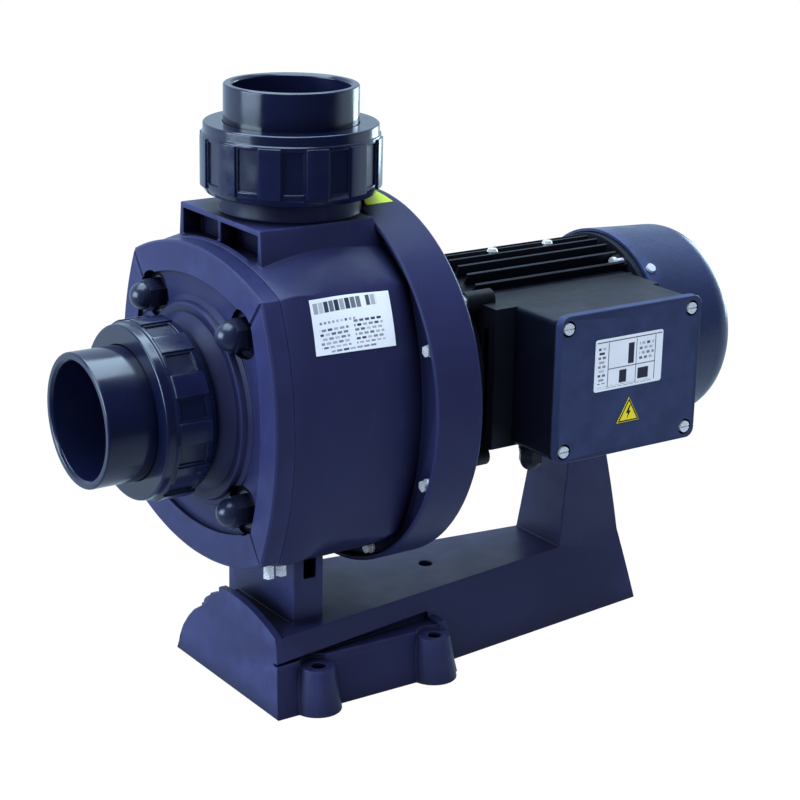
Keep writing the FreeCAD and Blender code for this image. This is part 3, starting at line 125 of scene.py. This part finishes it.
def bump(tree, shader, height, strength, distance, below=None):
    node = tree.nodes.new("ShaderNodeBump")
    node.inputs["Strength"].default_value = strength
    node.inputs["Distance"].default_value = distance
    tree.links.new(height, node.inputs["Height"])
    if below:
        tree.links.new(below, node.inputs["Normal"])
    tree.links.new(node.outputs["Normal"], shader.inputs["Normal"])
    return node.outputs["Normal"]


def edge_wear(tree, start, end):
    """1 where the surface turns sharply outwards, 0 on flats."""
    geometry = tree.nodes.new("ShaderNodeNewGeometry")
    turn = spread(tree, geometry.outputs["Pointiness"], start, end, 0.0, 1.0)
    return math_node(tree, "MULTIPLY", turn, spread(tree, noise(tree, 70.0), 0.35, 0.65, 0.3, 1.0))


def painted_hollow_shade(tree, colour, reach=0.03):
    """Painted shade: darkens a colour by ambient occlusion in recesses and narrow gaps, where little light
    reaches.
    """
    open_sky = tree.nodes.new("ShaderNodeAmbientOcclusion")
    open_sky.samples = 8
    open_sky.inputs["Distance"].default_value = reach
    lightness = spread(tree, open_sky.outputs["AO"], 0.25, 0.85, 0.0, 1.0)
    return mix_colour(tree, lightness, (0.0, 0.0, 0.002), colour)


def scaled(colour, factor):
    return tuple(min(1.0, c * factor) for c in colour)


# ---- finishes ----
def moulded(name, colour, rough, grain=0.1, gloss=0.25, coat=0.0, worn=1.9):
    """Injection-moulded plastic: mould grain, slow sink marks, pale rubbed edges, faint scuffs and painted
    shade in the hollows.
    """
    material, tree, shader = new_material(name)
    tone = mix_colour(tree, spread(tree, noise(tree, 9.0), 0.3, 0.7, 0.0, 1.0),
                      scaled(colour, 0.9), scaled(colour, 1.12))
    scuffs = spread(tree, noise(tree, 120.0, 6.0, (1.0, 1.0, 0.2)), 0.62, 0.78, 0.0, 0.35)
    rubbed = math_node(tree, "MAXIMUM", scuffs, edge_wear(tree, 0.515, 0.57))
    worn_tone = mix_colour(tree, rubbed, tone, scaled(colour, worn))
    # painted shade: the worn colour is darkened by ambient occlusion in recesses and gaps
    tree.links.new(painted_hollow_shade(tree, worn_tone), shader.inputs["Base Color"])
    tree.links.new(spread(tree, noise(tree, 45.0), 0.25, 0.75, rough - 0.06, rough + 0.08),
                   shader.inputs["Roughness"])
    shader.inputs["Specular IOR Level"].default_value = gloss
    shader.inputs["Coat Weight"].default_value = coat
    shader.inputs["Coat Roughness"].default_value = 0.12
    sink = bump(tree, shader, noise(tree, 28.0, 2.0), 0.25, 0.0006)
    bump(tree, shader, noise(tree, 2200.0, 2.0), grain, 0.00012, sink)
    return material


def metal(name, colour, rough, stretch=(1.0, 1.0, 1.0), worn=0.75, metallic=1.0):
    """Machined or plated metal with fine lines along one axis and dull patches."""
    material, tree, shader = new_material(name)
    dull = spread(tree, noise(tree, 60.0, 5.0), 0.4, 0.75, 0.0, 1.0)
    tree.links.new(mix_colour(tree, dull, colour, scaled(colour, worn)), shader.inputs["Base Color"])
    lines = noise(tree, 900.0, 3.0, stretch)
    tree.links.new(spread(tree, lines, 0.25, 0.75, rough - 0.08, rough + 0.1), shader.inputs["Roughness"])
    shader.inputs["Metallic"].default_value = metallic
    bump(tree, shader, lines, 0.2, 0.00008)
    return material


def painted(name, colour, rough, gloss=0.4):
    """Paint over a casting or a sheet: orange peel and rubbed edges."""
    material, tree, shader = new_material(name)
    tone = mix_colour(tree, spread(tree, noise(tree, 16.0), 0.3, 0.7, 0.0, 1.0),
                      scaled(colour, 0.85), scaled(colour, 1.15))
    worn = mix_colour(tree, edge_wear(tree, 0.53, 0.62), tone, scaled(colour, 2.4))
    tree.links.new(worn, shader.inputs["Base Color"])
    tree.links.new(spread(tree, noise(tree, 80.0), 0.3, 0.7, rough - 0.05, rough + 0.1),
                   shader.inputs["Roughness"])
    shader.inputs["Specular IOR Level"].default_value = gloss
    peel = bump(tree, shader, noise(tree, 420.0, 2.0), 0.12, 0.0002)
    bump(tree, shader, noise(tree, 60.0, 3.0), 0.15, 0.0005, peel)
    return material


def print_block(tree, point, x0, x1, z0, z1, word=0.0, line=0.0, gap=0.0):
    """Ink inside one rectangle of a label: solid, or broken into lines of words."""
    split = tree.nodes.new("ShaderNodeSeparateXYZ")
    tree.links.new(point, split.inputs["Vector"])
    x, z = split.outputs["X"], split.outputs["Z"]
    sides = [math_node(tree, "GREATER_THAN", x, x0), math_node(tree, "LESS_THAN", x, x1),
             math_node(tree, "GREATER_THAN", z, z0), math_node(tree, "LESS_THAN", z, z1)]
    ink = sides[0]
    for side in sides[1:]:
        ink = math_node(tree, "MULTIPLY", ink, side)
    if not word:
        return ink
    join = tree.nodes.new("ShaderNodeCombineXYZ")
    tree.links.new(x, join.inputs["X"])
    tree.links.new(z, join.inputs["Y"])
    bricks = tree.nodes.new("ShaderNodeTexBrick")
    tree.links.new(join.outputs["Vector"], bricks.inputs["Vector"])
    bricks.inputs["Color1"].default_value = (1.0, 1.0, 1.0, 1.0)
    bricks.inputs["Color2"].default_value = (0.35, 0.35, 0.35, 1.0)
    bricks.inputs["Mortar"].default_value = (0.0, 0.0, 0.0, 1.0)
    bricks.inputs["Scale"].default_value = 1.0
    bricks.inputs["Mortar Size"].default_value = gap or line * 0.24
    bricks.inputs["Brick Width"].default_value = word
    bricks.inputs["Row Height"].default_value = line
    return math_node(tree, "MULTIPLY", ink, bricks.outputs["Color"])


def film(name, paper=(0.80, 0.83, 0.88), blocks=(), ink=(0.02, 0.025, 0.05)):
    """A film label with generic blocks of ink where the real one is printed."""
    material, tree, shader = new_material(name)
    face = mix_colour(tree, spread(tree, noise(tree, 40.0), 0.35, 0.7, 0.0, 1.0), paper, scaled(paper, 0.92))
    point = place(tree)
    for block in blocks:
        face = mix_colour(tree, print_block(tree, point, *(value * MM for value in block)), face, ink)
    tree.links.new(face, shader.inputs["Base Color"])
    tree.links.new(spread(tree, noise(tree, 90.0), 0.3, 0.7, 0.35, 0.5), shader.inputs["Roughness"])
    shader.inputs["Specular IOR Level"].default_value = 0.3
    bump(tree, shader, noise(tree, 300.0), 0.1, 0.0001)
    return material


NAVY = (0.0175, 0.0195, 0.0640)
UNION_NAVY = (0.0042, 0.0060, 0.0240)

RATING_PRINT = ((-80.5, -37.5, 332.8, 340.2, 4.9, 9.75, 0.45), (-33.0, -24.0, 333.2, 340.2, 4.5, 9.75, 0.45),
                (-78.0, -45.0, 325.0, 328.5, 3.8, 3.6), (-78.0, -52.0, 308.0, 322.0, 5.5, 3.1),
                (-47.0, -22.0, 308.0, 325.0, 5.0, 3.1), (-70.0, -30.0, 304.5, 307.0, 6.0, 2.6))
MOTOR_PRINT = ((154.0, 161.5, 254.0, 285.0, 7.0, 3.6), (152.5, 219.0, 287.5, 288.3),
               (184.5, 190.5, 267.0, 284.0),
               (176.0, 183.5, 252.5, 263.0), (195.0, 206.0, 253.0, 262.0), (164.0, 212.0, 265.0, 265.7),
               (164.0, 164.7, 250.5, 287.0), (192.6, 193.2, 250.5, 287.0), (212.0, 212.7, 250.5, 287.0),
               (196.0, 211.0, 268.0, 284.0, 5.0, 4.0), (154.0, 210.0, 249.8, 251.6, 6.0, 2.2))

finishes = {
    "pump_plastic": moulded("pump_plastic", NAVY, 0.36, gloss=0.18),
    "union_plastic": moulded("union_plastic", UNION_NAVY, 0.16, grain=0.03, gloss=0.75),
    "stand_plastic": moulded("stand_plastic", scaled(NAVY, 1.1), 0.38, gloss=0.24),
    "motor_paint": painted("motor_paint", (0.0035, 0.0042, 0.0085), 0.42, gloss=0.3),
    "fan_cover_paint": painted("fan_cover_paint", (0.014, 0.021, 0.066), 0.28, gloss=0.45),
    "gland_plastic": moulded("gland_plastic", (0.006, 0.007, 0.014), 0.35, gloss=0.4),
    "box_plastic": moulded("box_plastic", (0.022, 0.031, 0.080), 0.4, gloss=0.16),
    "impeller_plastic": moulded("impeller_plastic", (0.020, 0.020, 0.022), 0.5),
    "fan_plastic": moulded("fan_plastic", (0.020, 0.020, 0.024), 0.5),
    "board_plastic": moulded("board_plastic", (0.060, 0.030, 0.020), 0.3, gloss=0.5),
    "cap_nut_plastic": moulded("cap_nut_plastic", (0.010, 0.012, 0.034), 0.26, grain=0.03, gloss=0.6,
                               worn=1.4),
    "rubber": moulded("rubber", (0.012, 0.012, 0.013), 0.75, grain=0.3, gloss=0.2, worn=1.3),
    "ceramic": moulded("ceramic", (0.80, 0.78, 0.72), 0.25, grain=0.02, gloss=0.5, worn=1.05),
    "carbon": moulded("carbon", (0.03, 0.03, 0.032), 0.3, grain=0.02, gloss=0.5, worn=1.2),
    "stainless": metal("stainless", (0.62, 0.63, 0.64), 0.28, (0.1, 1.0, 1.0)),
    "screw_steel": metal("screw_steel", (0.84, 0.87, 0.92), 0.26, worn=0.8, metallic=0.5),
    "bearing_steel": metal("bearing_steel", (0.72, 0.72, 0.74), 0.14),
    "lamination": metal("lamination", (0.20, 0.20, 0.22), 0.45, (6.0, 0.1, 0.1)),
    "copper": metal("copper", (0.70, 0.28, 0.12), 0.3, (0.1, 1.0, 1.0)),
    "brass": metal("brass", (0.75, 0.55, 0.22), 0.25),
    "label_green": film("label_green", (0.62, 0.80, 0.03)),
    "label_yellow": film("label_yellow", (0.85, 0.70, 0.02)),
}
rating_film = film("rating_film", blocks=RATING_PRINT)
# painted shade: a near-black copy of the box plastic for the terminal box body, standing in for the shadow
# the ring casts on it; the lid keeps box_plastic
box_painted_shade = moulded("box_painted_shade", (0.0028, 0.0032, 0.0085), 0.36, gloss=0.22)
motor_film = film("motor_film", blocks=MOTOR_PRINT)

slot_of = {part["node"]: part["material_slot"] for part in frame["record"]["subparts"]}


def finish_of(node):
    if node == "rating_label":
        return rating_film
    if node == "motor_label":
        return motor_film
    # painted shade: the terminal box body takes the darkened copy of the box plastic
    if node == "terminal_box":
        return box_painted_shade
    return finishes[slot_of[node]]


for node_name, node_object in frame["nodes"].items():
    node_object.data.materials.clear()
    node_object.data.materials.append(finish_of(node_name))


# ---- pieces ----
def add_piece(name, mesh, body, slot, material=None):
    piece = bpy.data.objects.new(name, mesh)
    bpy.context.scene.collection.objects.link(piece)
    mesh.materials.clear()
    mesh.materials.append(material or finishes[slot])
    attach(piece, body)
    return piece


def keep_close(mesh, source, reach):
    """Puts a bevel's stray points back on the surface they came from."""
    tree = BVHTree.FromPolygons([v.co for v in source.vertices], [p.vertices for p in source.polygons])
    for vertex in mesh.vertices:
        nearest, normal, face, distance = tree.find_nearest(vertex.co)
        if distance > reach:
            vertex.co = nearest


def softened(node, width, turn=32.0):
    """The CAD node's own shape with every hard edge broken by a small rounded bevel."""
    source = frame["nodes"][node]
    mesh = source.data.copy()
    work = bmesh.new()
    work.from_mesh(mesh)
    bmesh.ops.remove_doubles(work, verts=work.verts, dist=0.00002)
    bmesh.ops.dissolve_limit(work, angle_limit=math.radians(0.5), verts=work.verts, edges=work.edges)
    for face in work.faces:
        face.smooth = True
    work.to_mesh(mesh)
    work.free()
    mesh.normals_split_custom_set([(0.0, 0.0, 0.0)] * len(mesh.loops))
    draft = bpy.data.objects.new(node + "_draft", mesh)
    bpy.context.scene.collection.objects.link(draft)
    bevel = draft.modifiers.new("edges", "BEVEL")
    bevel.width = width
    bevel.segments = 2
    bevel.limit_method = "ANGLE"
    bevel.angle_limit = math.radians(turn)
    bevel.use_clamp_overlap = False
    bevel.miter_outer = "MITER_ARC"
    flatten = draft.modifiers.new("normals", "WEIGHTED_NORMAL")
    flatten.mode = "FACE_AREA"
    flatten.weight = 100
    seen = draft.evaluated_get(bpy.context.evaluated_depsgraph_get())
    finished = bpy.data.meshes.new_from_object(seen)
    finished.name = node + "_soft"
    bpy.data.objects.remove(draft)
    keep_close(finished, source.data, 0.6 * width)
    piece = add_piece(node + "_soft", finished, source["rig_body"], slot_of[node], finish_of(node))
    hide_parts(node)
    return piece


SOFT_EDGES = {"casing": 0.9, "front_cover": 0.5, "seal_housing": 0.7, "base_stand": 0.9, "terminal_box": 0.5,
              "terminal_lid": 0.35, "suction_nut": 0.45, "discharge_nut": 0.45, "suction_tail": 0.5,
              "discharge_tail": 0.5, "motor_frame": 0.25, "front_shield": 0.4, "motor_pad": 0.3}
for node_name, edge in SOFT_EDGES.items():
    softened(node_name, edge * MM)


def outline_mesh(name, outlines, y_front, y_back):
    """Thin solid signs: each outline of (x, z) points is a plate between two planes."""
    work = bmesh.new()
    for outline in outlines:
        front = [work.verts.new((x * MM, y_front * MM, z * MM)) for x, z in outline]
        back = [work.verts.new((x * MM, y_back * MM, z * MM)) for x, z in outline]
        work.faces.new(front)
        work.faces.new(list(reversed(back)))
        count = len(outline)
        for k in range(count):
            work.faces.new((front[k], back[k], back[(k + 1) % count], front[(k + 1) % count]))
    bmesh.ops.recalc_face_normals(work, faces=work.faces)
    mesh = bpy.data.meshes.new(name)
    work.to_mesh(mesh)
    work.free()
    return mesh


def triangle_frame(centre_x, centre_z, outer, inner):
    """Three mitred bars round an upright triangle."""
    def corners(radius):
        return [(centre_x + radius * math.cos(math.radians(90 + 120 * k)),
                 centre_z + radius * math.sin(math.radians(90 + 120 * k))) for k in range(3)]
    out, back = corners(outer), corners(inner)
    return [[out[k], out[(k + 1) % 3], back[(k + 1) % 3], back[k]] for k in range(3)]


SIGN_X, SIGN_Z = 188.0, 225.2
SIGN_FRONT, SIGN_BACK = -150.56, -150.45
# the lightning bolt, measured from the centre of the sign
BOLT = ((0.6, 7.0), (-2.6, 0.4), (-0.3, 0.4), (-1.6, -4.4), (2.4, 2.2), (0.2, 2.2), (2.0, 7.0))
bolt = [(SIGN_X + x, SIGN_Z + z) for x, z in BOLT]
outlines = triangle_frame(SIGN_X, SIGN_Z, 12.6, 10.4) + [bolt]
sign = outline_mesh("warning_sign", outlines, SIGN_FRONT, SIGN_BACK)
add_piece("warning_sign", sign, "pump", "rubber")


# ---- studio ----
def area_light(name, location, target, size, power, colour=(1.0, 1.0, 1.0)):
    data = bpy.data.lights.new(name, "AREA")
    data.shape = "RECTANGLE"
    data.size, data.size_y = size
    data.energy = power
    data.color = colour
    lamp = bpy.data.objects.new(name, data)
    lamp.location = location
    lamp.rotation_mode = "QUATERNION"
    lamp.rotation_quaternion = (Vector(target) - Vector(location)).to_track_quat("-Z", "Y")
    bpy.context.scene.collection.objects.link(lamp)


# the set is dark behind the camera and bright behind the pump; the level direction to the bright side
BACK = (0.571, 0.821, 0.0)
# the soft light on matt surfaces comes mostly from the left, from above and from behind
LIT_SIDE = (-0.76, 0.40, 0.51)


def set_brightness(tree, socket, direction, dark_at, bright_at, low, high):
    """Brightness that rises along one direction of the set."""
    along = tree.nodes.new("ShaderNodeVectorMath")
    along.operation = "DOT_PRODUCT"
    along.inputs[1].default_value = direction
    tree.links.new(socket, along.inputs[0])
    return spread(tree, along.outputs["Value"], dark_at, bright_at, low, high)


def by_ray(tree, ray, other, chosen):
    rays = tree.nodes.new("ShaderNodeLightPath")
    choose = tree.nodes.new("ShaderNodeMixShader")
    tree.links.new(rays.outputs[ray], choose.inputs["Fac"])
    tree.links.new(other, choose.inputs[1])
    tree.links.new(chosen, choose.inputs[2])
    return choose.outputs["Shader"]


def glow(tree, kind, colour, strength):
    node = tree.nodes.new(kind)
    node.inputs["Color"].default_value = (*colour, 1.0)
    if isinstance(strength, float):
        node.inputs["Strength"].default_value = strength
    else:
        tree.links.new(strength, node.inputs["Strength"])
    return node.outputs[0]


COOL = (0.60, 0.80, 1.0)


def studio():
    centre = (0.05, 0.0, 0.22)
    area_light("top", (-0.1, 0.3, 1.9), centre, (2.2, 1.6), 60.0, COOL)
    area_light("left", (-2.2, 0.5, 0.7), centre, (1.6, 1.2), 54.0, COOL)
    area_light("right", (2.0, 0.6, 0.4), (0.3, 0.0, 0.22), (0.8, 1.2), 26.0, COOL)
    world = bpy.data.worlds.new("studio")
    world.use_nodes = True
    tree = world.node_tree
    tree.nodes.clear()
    output = tree.nodes.new("ShaderNodeOutputWorld")
    coordinate = tree.nodes.new("ShaderNodeTexCoord")
    mirrored = set_brightness(tree, coordinate.outputs["Generated"], BACK, -0.15, 0.50, 0.015, 0.90)
    soft = set_brightness(tree, coordinate.outputs["Generated"], LIT_SIDE, -0.7, 0.9, 0.28, 1.85)
    lit = glow(tree, "ShaderNodeBackground", (0.80, 0.87, 1.0), soft)
    shine = glow(tree, "ShaderNodeBackground", COOL, mirrored)
    white = glow(tree, "ShaderNodeBackground", (1.0, 1.0, 1.0), 1.05)
    tree.links.new(by_ray(tree, "Is Camera Ray", by_ray(tree, "Is Glossy Ray", lit, shine), white),
                   output.inputs["Surface"])
    bpy.context.scene.world = world


def floor():
    work = bmesh.new()
    bmesh.ops.create_grid(work, x_segments=8, y_segments=8, size=9.0)
    mesh = bpy.data.meshes.new("floor")
    work.to_mesh(mesh)
    work.free()
    ground = bpy.data.objects.new("floor", mesh)
    ground.location.z = -0.0004
    material, tree, shader = new_material("floor")
    shader.inputs["Base Color"].default_value = (0.45, 0.45, 0.45, 1.0)
    shader.inputs["Roughness"].default_value = 0.9
    shader.inputs["Specular IOR Level"].default_value = 0.1
    output = [node for node in tree.nodes if node.type == "OUTPUT_MATERIAL"][0]
    coordinate = tree.nodes.new("ShaderNodeTexCoord")
    mirrored = set_brightness(tree, coordinate.outputs["Object"], BACK, -0.60, 0.25, 0.02, 0.95)
    shine = glow(tree, "ShaderNodeEmission", COOL, mirrored)
    white = glow(tree, "ShaderNodeEmission", (1.0, 1.0, 1.0), 1.02)
    surface = by_ray(tree, "Is Glossy Ray", shader.outputs["BSDF"], shine)
    tree.links.new(by_ray(tree, "Is Camera Ray", surface, white), output.inputs["Surface"])
    mesh.materials.append(material)
    bpy.context.scene.collection.objects.link(ground)


CAMERA_AT = (-0.86815, -1.34960, 0.73867)
CAMERA_ANGLES = (-34.834, 17.698, 1.259)     # azimuth, elevation and roll, in degrees
CAMERA_LENS = 94.319


def camera():
    azimuth, elevation, roll = (math.radians(angle) for angle in CAMERA_ANGLES)
    forward = Vector((-math.sin(azimuth) * math.cos(elevation), math.cos(azimuth) * math.cos(elevation),
                      -math.sin(elevation)))
    right = Vector((math.cos(azimuth), math.sin(azimuth), 0.0))
    up = right.cross(forward)
    turned_right = math.cos(roll) * right + math.sin(roll) * up
    turned_up = -math.sin(roll) * right + math.cos(roll) * up
    data = bpy.data.cameras.new("camera")
    data.sensor_width = 36.0
    data.lens = CAMERA_LENS
    data.clip_end = 50.0
    seat = bpy.data.objects.new("camera", data)
    bpy.context.scene.collection.objects.link(seat)
    pose = Matrix((turned_right, turned_up, -forward)).transposed().to_4x4()
    pose.translation = Vector(CAMERA_AT)
    seat.matrix_world = pose
    bpy.context.scene.camera = seat


studio()
floor()
camera()
bpy.context.scene.view_settings.view_transform = "Standard"
